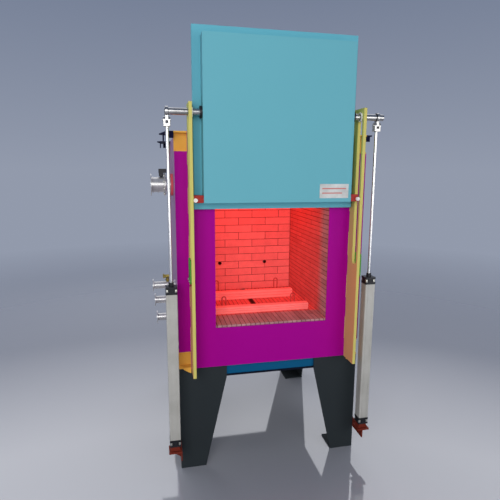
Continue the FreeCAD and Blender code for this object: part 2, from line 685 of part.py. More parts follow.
def door_front_shell():
    """Box that stiffens the door and carries the shaft."""
    skin = DOOR_SKIN
    outside = block(-SHELL_X, SHELL_X, SHELL_FRONT, DOOR_FRONT, SHELL_BOTTOM, SHELL_TOP)
    outside = rounded(outside, 3, (0, 1, 0))
    x1 = SHELL_X - skin
    z0 = SHELL_BOTTOM + skin
    inside = block(-x1, x1, SHELL_FRONT + skin, DOOR_FRONT + 1, z0, SHELL_TOP - skin)
    bore = bar(SHAFT_RADIUS, (-SHELL_X - 1, SHAFT_Y, SHAFT_Z), (1, 0, 0), SHELL_WIDTH + 2)
    return outside.cut([inside, bore])


def door_shaft():
    """Through shaft of the door."""
    shaft = bar(SHAFT_RADIUS, (-SHAFT_END, SHAFT_Y, SHAFT_Z), (1, 0, 0), 2 * SHAFT_END)
    return shaft.makeChamfer(1.5, [edge for edge in shaft.Edges if edge.Curve.TypeId == "Part::GeomCircle"])


def shaft_collar():
    """Right collar that fixes the shaft to the side of the box."""
    return tube(36, SHAFT_RADIUS, (SHELL_X, SHAFT_Y, SHAFT_Z), (1, 0, 0), 15)


def shaft_lug(axis):
    """Lug near the shaft end, held by the rod fork."""
    half = 8.0
    x0 = axis - half
    ring = bar(28, (x0, SHAFT_Y, SHAFT_Z), (1, 0, 0), 2 * half)
    tongue = block(x0, x0 + 2 * half, SHAFT_Y - 15, SHAFT_Y + 15, PIN_Z, SHAFT_Z)
    tip = bar(15, (x0, SHAFT_Y, PIN_Z), (1, 0, 0), 2 * half)
    bore = bar(SHAFT_RADIUS, (x0 - 1, SHAFT_Y, SHAFT_Z), (1, 0, 0), 20)
    pin = bar(PIN_RADIUS, (x0 - 1, SHAFT_Y, PIN_Z), (1, 0, 0), 20)
    return fused(ring, tongue, tip).cut([bore, pin])


def fork_pin(axis):
    """Fork pin, fixed in the lug."""
    return bar(PIN_RADIUS, (axis - 23, SHAFT_Y, PIN_Z), (1, 0, 0), 46)


def slot_roller():
    """Right roller on the shaft, inside the guide slot."""
    start = (GUIDE_INNER - 7, SHAFT_Y, SHAFT_Z)
    return tube(SLOT_ROLLER_RADIUS, SHAFT_RADIUS + RUNNING, start, (1, 0, 0), 26)


def roller_bracket():
    """Right lower bracket and the pin of its guide roller."""
    z0 = GUIDE_ROLLER_Z - 16
    bracket = block(SHELL_X, GUIDE_INNER - 6, -128, -76, z0, z0 + 44)
    y0 = -148.0
    pin = bar(ROLLER_PIN, (GUIDE_ROLLER_X, y0, GUIDE_ROLLER_Z), (0, 1, 0), 50)
    head = bar(6.5, (GUIDE_ROLLER_X, y0 - 3, GUIDE_ROLLER_Z), (0, 1, 0), 3)
    return [rounded(bracket, 3, (0, 1, 0)).cut(pin), fused(pin, head)]


def guide_roller():
    """Right lower roller that keeps the door central between the guides."""
    start = (GUIDE_ROLLER_X, -146, GUIDE_ROLLER_Z)
    return tube(GUIDE_ROLLER_RADIUS, ROLLER_PIN + RUNNING, start, (0, 1, 0), 16)


def nameplate():
    """Blank plate at the lower right of the door."""
    return block(256, 448, SHELL_FRONT - 1.5, SHELL_FRONT, 1858, 1946)


# ---- all nodes --------------------------------------------------------------------------------
def save_casing():
    save("front_plate", front_plate())
    x0 = -CASING_X - 1
    holes = [bar(UPPER_PORT_RADIUS, (x0, PORT_Y, UPPER_PORT_Z), (1, 0, 0), SHEET + 2)]
    holes += [bar(LOWER_PORT_RADIUS, (x0, PORT_Y, z), (1, 0, 0), SHEET + 2) for z, end in LOWER_PORTS]
    save("side_panel_right", side_panel())
    save("side_panel_left", left(side_panel()).cut(holes))
    save("rear_panel", rear_panel())
    far = CASING_DEPTH - BEAM_REAR
    save("roof_panel", block(-WALL_X, WALL_X, BEAM_REAR, far, CASING_TOP - SHEET, CASING_TOP))
    save("floor_pan", floor_pan())
    save("top_front_beam", channel(UPPER_BEAM_BOTTOM))
    save("bottom_front_beam", bottom_front_beam())
    save("rear_beams", rear(channel(CASING_BOTTOM)), rear(channel(UPPER_BEAM_BOTTOM)))
    save("leg_front_right", leg())
    save("leg_front_left", left(leg()))
    save("leg_rear_right", rear(leg()))
    save("leg_rear_left", rear(left(leg())))
    lugs = both(lifting_lug())
    save("lifting_lugs", *(lugs + [rear(lug) for lug in lugs]))


def save_guides():
    save("guide_plate_right", guide_plate())
    save("guide_plate_left", left(guide_plate()))
    save("slot_stops", *both(slot_stop()))
    bolts = frame_fasteners()
    save("frame_fasteners", *(bolts + [left(bolt) for bolt in bolts]))


def save_chamber():
    port = bar(UPPER_PORT_RADIUS, (-LINING_X - 1, PORT_Y, UPPER_PORT_Z), (1, 0, 0), BRICK + 2)
    save("lining_floor", *lining_floor())
    save("lining_back_wall", lining_back_wall())
    save("lining_right_wall", lining_side_wall())
    save("lining_left_wall", left(lining_side_wall()).cut(port))
    save("lining_roof", lining_roof())
    save("lining_lintel", lining_lintel())
    save("insulation_boards", *insulation_boards())
    save("load_beam_front", load_beam(-360.0, 336.0, 222.0, 50.0))
    save("load_beam_rear", load_beam(-342.0, 321.0, 565.0, 66.0))
    places = ((-285, 288, 98), (234, 288, 98), (-290, 631, 132), (196, 631, 132))
    save("beam_stops", *[beam_stop(x, y, height) for x, y, height in places])
    save("element_supports", *element_supports())
    save("element_coils", *element_coils())
    save("wall_tubes", *wall_tubes())
    save("thermocouple", thermocouple())
    save("terminal_cover", terminal_cover())


def save_connections():
    save("upper_port", upper_port())
    save("upper_port_ring", upper_port_ring())
    save("port_actuator", port_actuator())
    save("lower_ports", *[lower_port(z, end) for z, end in LOWER_PORTS])
    save("brass_elbow", brass_elbow())


def save_cylinders():
    save("cylinder_barrels", *each_cylinder(cylinder_barrel))
    left_head = [left(solid) for solid in cylinder_head(CYLINDER_LEFT)]
    save("cylinder_heads", *(cylinder_head(CYLINDER_RIGHT) + left_head))
    left_base = [left(solid) for solid in cylinder_base(CYLINDER_LEFT)]
    save("cylinder_bases", *(cylinder_base(CYLINDER_RIGHT) + left_base))
    save("cylinder_mounts", *each_cylinder(cylinder_mount))
    save("piston_rod_right", *piston_rod(CYLINDER_RIGHT))
    save("piston_rod_left", *[left(solid) for solid in piston_rod(CYLINDER_LEFT)])
    save("rod_fork_right", rod_fork(CYLINDER_RIGHT))
    save("rod_fork_left", left(rod_fork(CYLINDER_LEFT)))


def save_door():
    save("door_back_panel", door_back_panel())
    save("door_insulation", door_insulation())
    save("door_seal", door_seal())
    save("door_front_shell", door_front_shell())
    save("door_shaft", door_shaft())
    save("shaft_collars", *both(shaft_collar()))
    save("shaft_lugs", *each_cylinder(shaft_lug))
    save("fork_pins", *each_cylinder(fork_pin))
    bracket = roller_bracket()
    save("roller_brackets", *(bracket + [left(solid) for solid in bracket]))
    save("nameplate", nameplate())
    save("slot_roller_right", slot_roller())
    save("slot_roller_left", left(slot_roller()))
    save("guide_roller_right", guide_roller())
    save("guide_roller_left", left(guide_roller()))


os.makedirs("parts", exist_ok=True)
save_casing()
save_guides()
save_chamber()
save_connections()
save_cylinders()
save_door()
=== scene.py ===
"""Looks of the chamber kiln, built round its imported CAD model.  Metres, +Z up, +Y to the rear."""
import math
import random

import bmesh
import bpy
from mathutils import Matrix, Vector


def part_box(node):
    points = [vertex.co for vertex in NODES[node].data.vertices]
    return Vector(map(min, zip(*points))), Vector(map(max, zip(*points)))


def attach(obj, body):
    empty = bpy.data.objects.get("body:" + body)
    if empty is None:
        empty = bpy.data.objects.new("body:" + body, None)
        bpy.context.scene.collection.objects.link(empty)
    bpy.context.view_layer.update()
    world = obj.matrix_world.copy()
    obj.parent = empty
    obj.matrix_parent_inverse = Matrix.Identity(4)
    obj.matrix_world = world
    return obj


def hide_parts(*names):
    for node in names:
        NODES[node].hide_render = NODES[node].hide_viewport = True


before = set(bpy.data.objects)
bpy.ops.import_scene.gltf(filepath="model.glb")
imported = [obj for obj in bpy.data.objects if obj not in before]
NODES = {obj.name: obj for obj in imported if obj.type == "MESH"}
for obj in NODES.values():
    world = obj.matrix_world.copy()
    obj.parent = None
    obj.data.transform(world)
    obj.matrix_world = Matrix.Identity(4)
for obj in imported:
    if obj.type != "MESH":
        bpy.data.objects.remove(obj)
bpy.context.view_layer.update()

rng = random.Random(7)

# ---- sizes that the CAD model and this file share ---------------------------------------------
FRONT = -0.665                # Y of the front plate's face
REAR = 0.665
CHAMBER_X = 0.390
CHAMBER_BACK = 0.215
CHAMBER_FLOOR = 1.015
CHAMBER_ROOF = 1.990
LINING_X = 0.504
LINING_BACK = 0.329
LINING_FRONT = -0.659
LINING_THICK = 0.114
LINTEL_BOTTOM = 1.800
BRICK_LENGTH = 0.232          # brick and joint
BRICK_COURSE = 0.0619         # a course of the back wall
SPLIT_COURSE = 0.0325         # a course of the side walls and the hearth
JOINT = 0.0024                # between two bricks
MORTAR_BACK = 0.003           # the mortar stands this far behind the brick faces
GROOVE_X = -0.028             # middle of the run-off groove in the hearth
GROOVE_HALF = 0.017
GROOVE_FRONT = -0.365
GROOVE_DEPTH = 0.030
ROOF_BRICK_WIDTH = 0.0672
LINTEL_BRICK_WIDTH = 0.065
ELEMENT_Z = 1.930
ELEMENT_PITCH = 0.130
ELEMENT_HOLE = 0.0112         # radius in the back wall
COIL_RADIUS = 0.018
COIL_FRONT = -0.483
COIL_BACK = 0.167
WALL_TUBES = (-0.225, 0.165)  # X of the two tubes through the back wall
WALL_TUBE_Z = 1.250
WALL_TUBE_HOLE = 0.0151
FUME_Y = 0.095                # axis of the fume outlet in the left wall
FUME_Z = 1.915
FUME_HOLE = 0.0572
SHAFT_Y = -0.762              # axis of the door's shaft, which is also that of the cylinders
SHAFT_Z = 2.360
CYLINDERS = {1: 0.643, -1: -0.672}     # X of the right and the left cylinder axis
CAP_SCREW = 0.02625           # from a cylinder's axis to its tie-rod nuts, in X and in Y
CAP_NUTS_Z = (1.2942, 0.2702)
AIR_PORTS_Z = (1.305, 0.283)
FORK_BOTTOM = 2.275
PIN_FRONT = -0.7935           # Y in front of which the roller pins are bright
PAN_LIP = 0.660               # top of the dark lip under the floor pan
COVER_BACK = 0.755            # Y of the terminal cover's face
RED_LIGHT_START = -0.515           # Y behind which the walls hold painted red light and a painted glow
HEARTH_RED_LIGHT_START = -0.455    # Y behind which the hearth holds painted red light and a painted glow


def srgb(red, green, blue):
    """Linear colour from 0-255 screen values."""
    linear = []
    for value in (red / 255, green / 255, blue / 255):
        linear.append(value / 12.92 if value <= 0.04045 else ((value + 0.055) / 1.055) ** 2.4)
    return (*linear, 1.0)


def grey(value):
    """Linear neutral colour."""
    return (value, value, value, 1.0)


NO_RED_LIGHT = (srgb(160, 118, 118), srgb(188, 142, 142))     # darkest and lightest brick in front of the painted red light
# painted glow: the red that the lining emits, though it is no lamp
PAINTED_GLOW = (1.0, 0.045, 0.04, 1.0)


# ---- materials --------------------------------------------------------------------------------
class Nodes:
    """Short way to build one node tree round a Principled shader."""

    def __init__(self, name):
        self.material = bpy.data.materials.new(name)
        self.material.use_nodes = True
        self.tree = self.material.node_tree
        self.shader = self.tree.nodes["Principled BSDF"]
        self.coords = self.tree.nodes.new("ShaderNodeTexCoord").outputs["Object"]

    def add(self, kind, inputs=None, **settings):
        node = self.tree.nodes.new(kind)
        for key, value in settings.items():
            setattr(node, key, value)
        for key, value in (inputs or {}).items():
            self.feed(node.inputs[key], value)
        return node

    def feed(self, socket, value):
        if isinstance(value, bpy.types.NodeSocket):
            self.tree.links.new(value, socket)
        else:
            socket.default_value = value

    def set(self, **values):
        for key, value in values.items():
            self.feed(self.shader.inputs[key.replace("_", " ")], value)

    def noise(self, scale, detail=3.0, roughness=0.55, stretch=None):
        vector = self.coords
        if stretch:
            vector = self.add("ShaderNodeMapping", {"Vector": vector, "Scale": stretch}).outputs[0]
        inputs = {"Vector": vector, "Scale": scale, "Detail": detail, "Roughness": roughness}
        return self.add("ShaderNodeTexNoise", inputs).outputs["Fac"]

    def ramp(self, fac, stops):
        node = self.add("ShaderNodeValToRGB", {"Fac": fac})
        ramp = node.color_ramp
        while len(ramp.elements) < len(stops):
            ramp.elements.new(0.5)
        for element, (position, colour) in zip(ramp.elements, stops):
            element.position = position
            element.color = colour
        return node.outputs["Color"]

    def range(self, value, low, high, from_low=0.0, from_high=1.0):
        inputs = {"Value": value, "To Min": low, "To Max": high}
        inputs.update({"From Min": from_low, "From Max": from_high})
        return self.add("ShaderNodeMapRange", inputs).outputs[0]

    def axis(self, letter):
        return self.add("ShaderNodeSeparateXYZ", {"Vector": self.coords}).outputs[letter]

    def mix(self, fac, a, b, blend="MIX"):
        node = self.add("ShaderNodeMix", data_type="RGBA", blend_type=blend)
        self.feed(node.inputs[0], fac)
        self.feed(node.inputs[6], a)
        self.feed(node.inputs[7], b)
        return node.outputs[2]

    def math(self, operation, a, b):
        node = self.add("ShaderNodeMath", operation=operation)
        self.feed(node.inputs[0], a)
        self.feed(node.inputs[1], b)
        return node.outputs[0]

    def bump(self, height, distance, strength=1.0):
        inputs = {"Height": height, "Distance": distance, "Strength": strength}
        self.feed(self.shader.inputs["Normal"], self.add("ShaderNodeBump", inputs).outputs[0])


def shade(colour, factor):
    """A colour made darker or lighter."""
    return (*[min(1.0, channel * factor) for channel in colour[:3]], 1.0)


def paint(name, colour, low_colour=None, heights=None, front_lit_colour=None):
    """Powder coat: orange peel, faint cloudiness, fine specks and duller patches.

    The low colour, if given, is used below the first height and gives way up to the second; the
    front-lit colour is painted light: it is used on faces that look to the front.
    """
    n = Nodes(name)
    if low_colour:
        height = n.range(n.axis("Z"), 0.0, 1.0, *heights)
        colour = n.mix(height, low_colour, colour)
    # painted light: faces that look to the front get the front-lit colour
    if front_lit_colour:
        normal = n.add("ShaderNodeNewGeometry").outputs["Normal"]
        facing = n.add("ShaderNodeSeparateXYZ", {"Vector": normal}).outputs["Y"]
        colour = n.mix(n.math("LESS_THAN", facing, -0.7), colour, front_lit_colour)
    cloud = n.ramp(n.noise(2.2, 4.0), [(0.3, grey(0.99)), (0.7, grey(1.01))])
    body = n.mix(1.0, colour, cloud, "MULTIPLY")
    speck = n.ramp(n.noise(620.0, 2.0), [(0.24, grey(0.95)), (0.32, grey(1.0))])
    n.set(Base_Color=n.mix(0.35, body, speck, "MULTIPLY"), Specular_IOR_Level=0.07)
    n.set(Roughness=n.range(n.noise(9.0, 5.0), 0.47, 0.55, 0.3, 0.7))
    n.bump(n.noise(430.0, 2.0), 0.000008)
    return n.material


def metal(name, colour, roughness=0.3, stretch=(1, 1, 60), scale=90.0, metallic=1.0):
    """Drawn, ground or turned metal with fine lines along one direction."""
    n = Nodes(name)
    lines = n.noise(scale, 4.0, 0.6, stretch)
    tint = n.ramp(lines, [(0.3, shade(colour, 0.86)), (0.7, shade(colour, 1.1))])
    stain = n.ramp(n.noise(7.0, 5.0), [(0.35, (0.8, 0.79, 0.77, 1)), (0.6, grey(1.0))])
    n.set(Base_Color=n.mix(0.6, tint, stain, "MULTIPLY"), Metallic=metallic)
    n.set(Roughness=n.range(lines, roughness - 0.07, roughness + 0.1, 0.3, 0.7))
    n.bump(lines, 0.00004)
    return n.material


def plastic(name, colour, roughness=0.5):
    """Moulded or anodised dark surface with a fine grain."""
    n = Nodes(name)
    grain = n.noise(260.0, 3.0)
    n.set(Base_Color=n.ramp(n.noise(12.0, 4.0), [(0.3, shade(colour, 0.8)), (0.7, shade(colour, 1.3))]))
    n.set(Roughness=n.range(grain, roughness - 0.08, roughness + 0.1, 0.3, 0.7))
    n.bump(grain, 0.00006)
    return n.material


def masonry(name, low, high, pits=1.0, emission=0.0, red_light_start=RED_LIGHT_START, blend=0.10, no_red_light=NO_RED_LIGHT):
    """Pressed refractory with grog and pores; behind the front zone its colour holds painted red light
    and, given an emission, a painted glow.

    Each brick's tone lies between the colours low and high, which hold painted red light, or between
    the two no_red_light ones of the front zone.
    """
    n = Nodes(name)
    tone = n.add("ShaderNodeAttribute", attribute_name="tone").outputs["Fac"]
    # painted light: red_lit marks where the chamber's red light is painted into the colour
    red_lit = n.range(n.axis("Y"), 0.0, 1.0, red_light_start - blend / 2, red_light_start + blend / 2)
    base = n.ramp(tone, [(0.0, low), (1.0, high)])
    base = n.mix(red_lit, n.ramp(tone, [(0.0, no_red_light[0]), (1.0, no_red_light[1])]), base)
    cloud = n.ramp(n.noise(14.0, 5.0), [(0.3, grey(0.9)), (0.7, grey(1.05))])
    base = n.mix(1.0, base, cloud, "MULTIPLY")
    grog = n.noise(220.0, 4.0, 0.7)
    stops = [(0.33, (0.6, 0.55, 0.53, 1)), (0.42, grey(1.0)), (0.66, (1.08, 1.06, 1.05, 1))]
    specks = n.ramp(grog, stops)
    base = n.mix(0.6 * pits, base, specks, "MULTIPLY")
    n.set(Base_Color=base, Roughness=0.93, Specular_IOR_Level=0.12)
    # painted glow: emission in the red-lit colour, though the refractory is no lamp
    if emission:
        lit = n.mix(red_lit, grey(0.0), n.mix(0.6, base, PAINTED_GLOW))
        n.set(Emission_Color=lit, Emission_Strength=emission)
    height = n.math("ADD", grog, n.math("MULTIPLY", n.noise(35.0, 4.0), 1.6))
    n.bump(height, 0.0006 * pits)
    return n.material


def fibre(name, colour):
    """Ceramic fibre: short matted strands."""
    n = Nodes(name)
    strands = n.noise(160.0, 6.0, 0.75, (1, 1, 3.5))
    n.set(Base_Color=n.ramp(strands, [(0.3, shade(colour, 0.82)), (0.7, shade(colour, 1.05))]))
    n.set(Roughness=1.0, Sheen_Weight=0.3, Specular_IOR_Level=0.1)
    n.bump(strands, 0.0012)
    return n.material


# ---- mesh helpers -----------------------------------------------------------------------------
def piece(name, mesh, body, material, replaces=(), smooth=True):
    """Turns a bmesh into a finished piece that rides on a CAD body."""
    data = bpy.data.meshes.new(name)
    mesh.to_mesh(data)
    mesh.free()
    obj = bpy.data.objects.new(name, data)
    bpy.context.scene.collection.objects.link(obj)
    data.materials.append(material)
    if smooth:
        data.polygons.foreach_set("use_smooth", [True] * len(data.polygons))
        data.set_sharp_from_angle(angle=math.radians(32))
    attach(obj, body)
    if replaces:
        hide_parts(*replaces)
    return obj


def box(mesh, low, high, bevel=0.00001, tone=0.0, wobble=0.0):
    """Closed block with chamfered edges; wobble pulls its faces in by up to that much."""
    layer = mesh.verts.layers.float.get("tone") or mesh.verts.layers.float.new("tone")
    low, high = [list(map(float, corner)) for corner in (low, high)]
    for axis in range(3):
        low[axis] += rng.uniform(0, wobble)
        high[axis] -= rng.uniform(0, wobble)
    ends = (low, high)
    verts = {}
    for corner in range(8):
        bits = [(corner >> axis) & 1 for axis in range(3)]
        for face in range(3):
            place = [ends[bits[axis]][axis] for axis in range(3)]
            for axis in range(3):
                if axis != face:
                    place[axis] += bevel if bits[axis] == 0 else -bevel
            vert = mesh.verts.new(place)
            vert[layer] = tone
            verts[(*bits, face)] = vert
    centre = Vector([(low[axis] + high[axis]) / 2 for axis in range(3)])
    loops = []
    for face in range(3):
        a, b = [axis for axis in range(3) if axis != face]
        for end in (0, 1):
            loop = []
            for i, j in ((0, 0), (1, 0), (1, 1), (0, 1)):
                bits = [0, 0, 0]
                bits[face], bits[a], bits[b] = end, i, j
                loop.append(verts[(*bits, face)])
            loops.append(loop)
        for i, j in ((0, 0), (1, 0), (1, 1), (0, 1)):
            bits0, bits1 = [0, 0, 0], [0, 0, 0]
            bits0[a] = bits1[a] = i
            bits0[b] = bits1[b] = j
            bits1[face] = 1
            edge = [(bits0, a), (bits1, a), (bits1, b), (bits0, b)]
            loops.append([verts[(*bits, side)] for bits, side in edge])
    for corner in range(8):
        bits = [(corner >> axis) & 1 for axis in range(3)]
        loops.append([verts[(*bits, face)] for face in range(3)])
    for loop in loops:
        normal = (loop[1].co - loop[0].co).cross(loop[2].co - loop[0].co)
        middle = sum((vert.co for vert in loop), Vector()) / len(loop)
        mesh.faces.new(loop if normal.dot(middle - centre) > 0 else loop[::-1])


def skin(mesh, rings):
    """Joins equal rings of vertices one after another, and closes both ends."""
    steps = len(rings[0])
    for low, high in zip(rings, rings[1:]):
        for step in range(steps):
            after = (step + 1) % steps
            mesh.faces.new((low[step], low[after], high[after], high[step]))
    mesh.faces.new(rings[0][::-1])
    mesh.faces.new(rings[-1])


def turned(mesh, profile, start, axis, steps):
    """Solid of revolution: profile holds (radius, distance along the axis) pairs."""
    turn = Vector((0, 0, 1)).rotation_difference(Vector(axis)).to_matrix()
    start = Vector(start)
    rings = []
    for radius, along in profile:
        ring = []
        for step in range(steps):
            angle = 2 * math.pi * step / steps
            point = Vector((radius * math.cos(angle), radius * math.sin(angle), along))
            ring.append(mesh.verts.new(start + turn @ point))
        rings.append(ring)
    skin(mesh, rings)


def bolt(mesh, start, axis, across=0.013, height=0.006, washer=True):
    """Hexagon head with a chamfered crown, on a washer."""
    r = across / math.sqrt(3)
    base = 0.0
    if washer:
        base = 0.0016
        disc = [(r * 1.25, 0), (r * 1.32, 0.0003), (r * 1.32, 0.0013), (r * 1.25, base)]
        turned(mesh, disc, start, axis, 24)
    crown = [(r * 0.96, base), (r, base + 0.0004), (r, base + height * 0.8), (r * 0.84, base + height)]
    turned(mesh, crown, start, axis, 6)


def sweep(mesh, points, radius, sides):
    """Round bar that follows points."""
    rings = []
    normal = None
    for before, point, after in zip(points[:1] + points, points, points[1:] + points[-1:]):
        tangent = (after - before).normalized()
        if normal is None:
            normal = tangent.orthogonal().normalized()
        normal = (normal - tangent * normal.dot(tangent)).normalized()
        side = tangent.cross(normal)
        ring = []
        for step in range(sides):
            angle = 2 * math.pi * step / sides
            offset = normal * math.cos(angle) + side * math.sin(angle)
            ring.append(mesh.verts.new(point + offset * radius))
        rings.append(ring)
    skin(mesh, rings)


def drill(obj, holes):
    """Cuts round holes, each (radius, start, axis, length), right through a piece."""
    mesh = bmesh.new()
    for radius, start, axis, length in holes:
        turned(mesh, [(radius, 0), (radius, length)], start, axis, 28)
    data = bpy.data.meshes.new("drill")
    mesh.to_mesh(data)
    mesh.free()
    cutter = bpy.data.objects.new("drill", data)
    bpy.context.scene.collection.objects.link(cutter)
    modifier = obj.modifiers.new("drill", "BOOLEAN")
    modifier.operation = "DIFFERENCE"
    modifier.solver = "EXACT"
    modifier.object = cutter
    bpy.context.view_layer.update()
    graph = bpy.context.evaluated_depsgraph_get()
    cut = bpy.data.meshes.new_from_object(obj.evaluated_get(graph))
    obj.modifiers.clear()
    old = obj.data
    obj.data = cut
    bpy.data.meshes.remove(old)
    bpy.data.objects.remove(cutter)
    bpy.data.meshes.remove(data)


def finish_node(names, material):
    """Gives CAD nodes their detailed material."""
    for name in names.split():
        data = NODES[name].data
        data.materials.clear()
        data.materials.append(material)


# ---- materials of this kiln -------------------------------------------------------------------
MAGENTA = paint("magenta_paint", srgb(162, 0, 135))
LILAC = paint("lilac_paint", srgb(160, 126, 160))
BLUE = paint("blue_paint", srgb(12, 84, 122), low_colour=srgb(14, 18, 34),
             heights=(PAN_LIP, PAN_LIP + 0.001))
AMBER = paint("amber_paint", srgb(240, 178, 78))
DARK = paint("dark_paint", srgb(45, 50, 52))
# painted light: the guides' front faces get a colour of their own, set apart from their sides
GUIDE = paint("guide_paint", srgb(188, 194, 108), low_colour=srgb(220, 166, 108), heights=(1.35, 2.1),
              front_lit_colour=srgb(202, 190, 104))
GREEN = paint("green_paint", srgb(76, 140, 54))
NAVY = paint("navy_paint", srgb(8, 10, 48))
CYAN = paint("cyan_paint", srgb(103, 170, 180))
TEAL = paint("teal_paint", srgb(100, 172, 186))
RED = paint("red_paint", srgb(212, 88, 94))
BROWN = paint("brown_paint", srgb(112, 44, 32))
STEEL = metal("steel", srgb(196, 194, 190), 0.28, (60, 1, 1))
CHROME = metal("chromed_rod", srgb(244, 242, 240), 0.30, (40, 40, 1), 30.0)
STAINLESS = metal("stainless", srgb(214, 213, 210), 0.3, (60, 1, 1), metallic=0.6)
PROFILE = metal("aluminium_profile", srgb(190, 187, 178), 0.5, (70, 70, 0.5), 60.0, metallic=0.25)
ZINC = metal("zinc_bolts", srgb(198, 196, 186), 0.36, (1, 1, 1), 200.0)
BRASS = metal("brass", srgb(180, 160, 84), 0.3, (1, 1, 40))
BLACK = plastic("black_anodised", srgb(20, 20, 23), 0.4)
PLASTIC = plastic("black_plastic", srgb(30, 31, 34), 0.55)
NYLON = plastic("nylon", srgb(226, 224, 216), 0.45)
LABEL = plastic("label_plate", srgb(190, 190, 185), 0.4)
RUBBER = plastic("stop_rubber", srgb(120, 26, 20), 0.7)
# Painted light: behind the front zone these masonry colours hold the chamber's red light, and their
# emission is a painted glow; the back wall, the side walls and the hearth are lit and shaded copies of
# one firebrick.
BACK_BRICK = masonry("firebrick_back", srgb(200, 98, 95), srgb(212, 108, 104), emission=0.37)
SIDE_BRICK = masonry("firebrick_side", srgb(184, 80, 76), srgb(196, 88, 84), emission=0.12)
FLOOR_BRICK = masonry("firebrick_floor", srgb(198, 80, 76), srgb(212, 88, 83), emission=0.22,
                      red_light_start=HEARTH_RED_LIGHT_START, blend=0.03)
MORTAR = masonry("mortar", srgb(128, 44, 40), srgb(136, 48, 44),
                 no_red_light=(srgb(84, 44, 44), srgb(90, 48, 48)))
BEAM = masonry("refractory_beam", srgb(232, 124, 118), srgb(232, 124, 118), 0.6, emission=0.34)
ALUMINA = masonry("alumina", srgb(230, 190, 176), srgb(230, 190, 176), 0.3, emission=0.1)
TUBE = masonry("wall_tube", srgb(92, 22, 20), srgb(92, 22, 20), 0.3)
FIBRE = fibre("fibre_board", srgb(236, 231, 220))
WIRE = metal("heating_wire", srgb(150, 84, 70), 0.5, (1, 1, 1), 150.0, metallic=0.7)
HOOP = masonry("painted_glow_wire", srgb(176, 60, 56), srgb(176, 60, 56), 0.3, emission=0.12)


def bracket_finish():
    """Red paint on the brackets, bright zinc on the roller pins in front of them."""
    n = Nodes("bracket_finish")
    pin = n.math("LESS_THAN", n.axis("Y"), PIN_FRONT)
    cloud = n.ramp(n.noise(60.0, 3.0), [(0.3, srgb(152, 26, 14)), (0.7, srgb(164, 32, 18))])
    bright = n.ramp(n.noise(300.0, 2.0), [(0.3, srgb(222, 214, 206)), (0.7, srgb(242, 236, 230))])
    n.set(Base_Color=n.mix(pin, cloud, bright), Specular_IOR_Level=0.3)
    n.set(Roughness=n.range(n.noise(40.0, 3.0), 0.42, 0.56, 0.3, 0.7))
    n.bump(n.noise(430.0, 2.0), 0.00001)
    return n.material


BRACKET = bracket_finish()
LINES = paint("pale_red_lines", srgb(196, 120, 112))


# ---- lining, laid brick by brick --------------------------------------------------------------
SHORTEST_BRICK = 0.020
THINNEST_BRICK = 0.004


def courses(start, end, step):
    """Cuts a length into steps; the last may be short."""
    marks = [start]
    while marks[-1] + step < end - THINNEST_BRICK:
        marks.append(marks[-1] + step)
    return list(zip(marks, marks[1:] + [end]))


def run_of(start, end, step, shift):
    """One course of bricks whose joints are shifted by part of a brick."""
    first = start + (step - shift if shift else step)
    marks = [start]
    while first < end - SHORTEST_BRICK:
        marks.append(first)
        first += step
    return list(zip(marks, marks[1:] + [end]))


def brick(mesh, low, high):
    """Brick of a random tone, half a joint smaller all round than its place."""
    half = JOINT / 2
    low = [value + half for value in low]
    high = [value - half for value in high]
    box(mesh, low, high, 0.0012, rng.random(), 0.0009)


def back_wall():
    """Bricks and mortar of the back wall; the shifts set where its upright joints fall."""
    mesh = bmesh.new()
    backing = bmesh.new()
    for row, (z0, z1) in enumerate(courses(CHAMBER_FLOOR, CHAMBER_ROOF, BRICK_COURSE)):
        shift = 0.137 if row % 2 else 0.021
        for x0, x1 in run_of(-CHAMBER_X, CHAMBER_X, BRICK_LENGTH, shift):
            brick(mesh, (x0, CHAMBER_BACK, z0), (x1, LINING_BACK, z1))
    low = (-CHAMBER_X, CHAMBER_BACK + MORTAR_BACK, CHAMBER_FLOOR)
    box(backing, low, (CHAMBER_X, LINING_BACK, CHAMBER_ROOF), tone=0.3)
    return mesh, backing


def side_wall(side):
    """Bricks and mortar of the right (1) or the left (-1) wall."""
    mesh = bmesh.new()
    backing = bmesh.new()
    x0, x1 = sorted((side * CHAMBER_X, side * LINING_X))
    for row, (z0, z1) in enumerate(courses(CHAMBER_FLOOR, CHAMBER_ROOF, SPLIT_COURSE)):
        shift = BRICK_LENGTH / 2 if row % 2 else 0.0
        for y0, y1 in run_of(LINING_FRONT, LINING_BACK, BRICK_LENGTH, shift):
            brick(mesh, (x0, y0, z0), (x1, y1, z1))
    x0, x1 = sorted((side * (CHAMBER_X + MORTAR_BACK), side * LINING_X))
    low = (x0, LINING_FRONT + MORTAR_BACK, CHAMBER_FLOOR)
    box(backing, low, (x1, LINING_BACK, CHAMBER_ROOF), tone=0.3)
    return mesh, backing


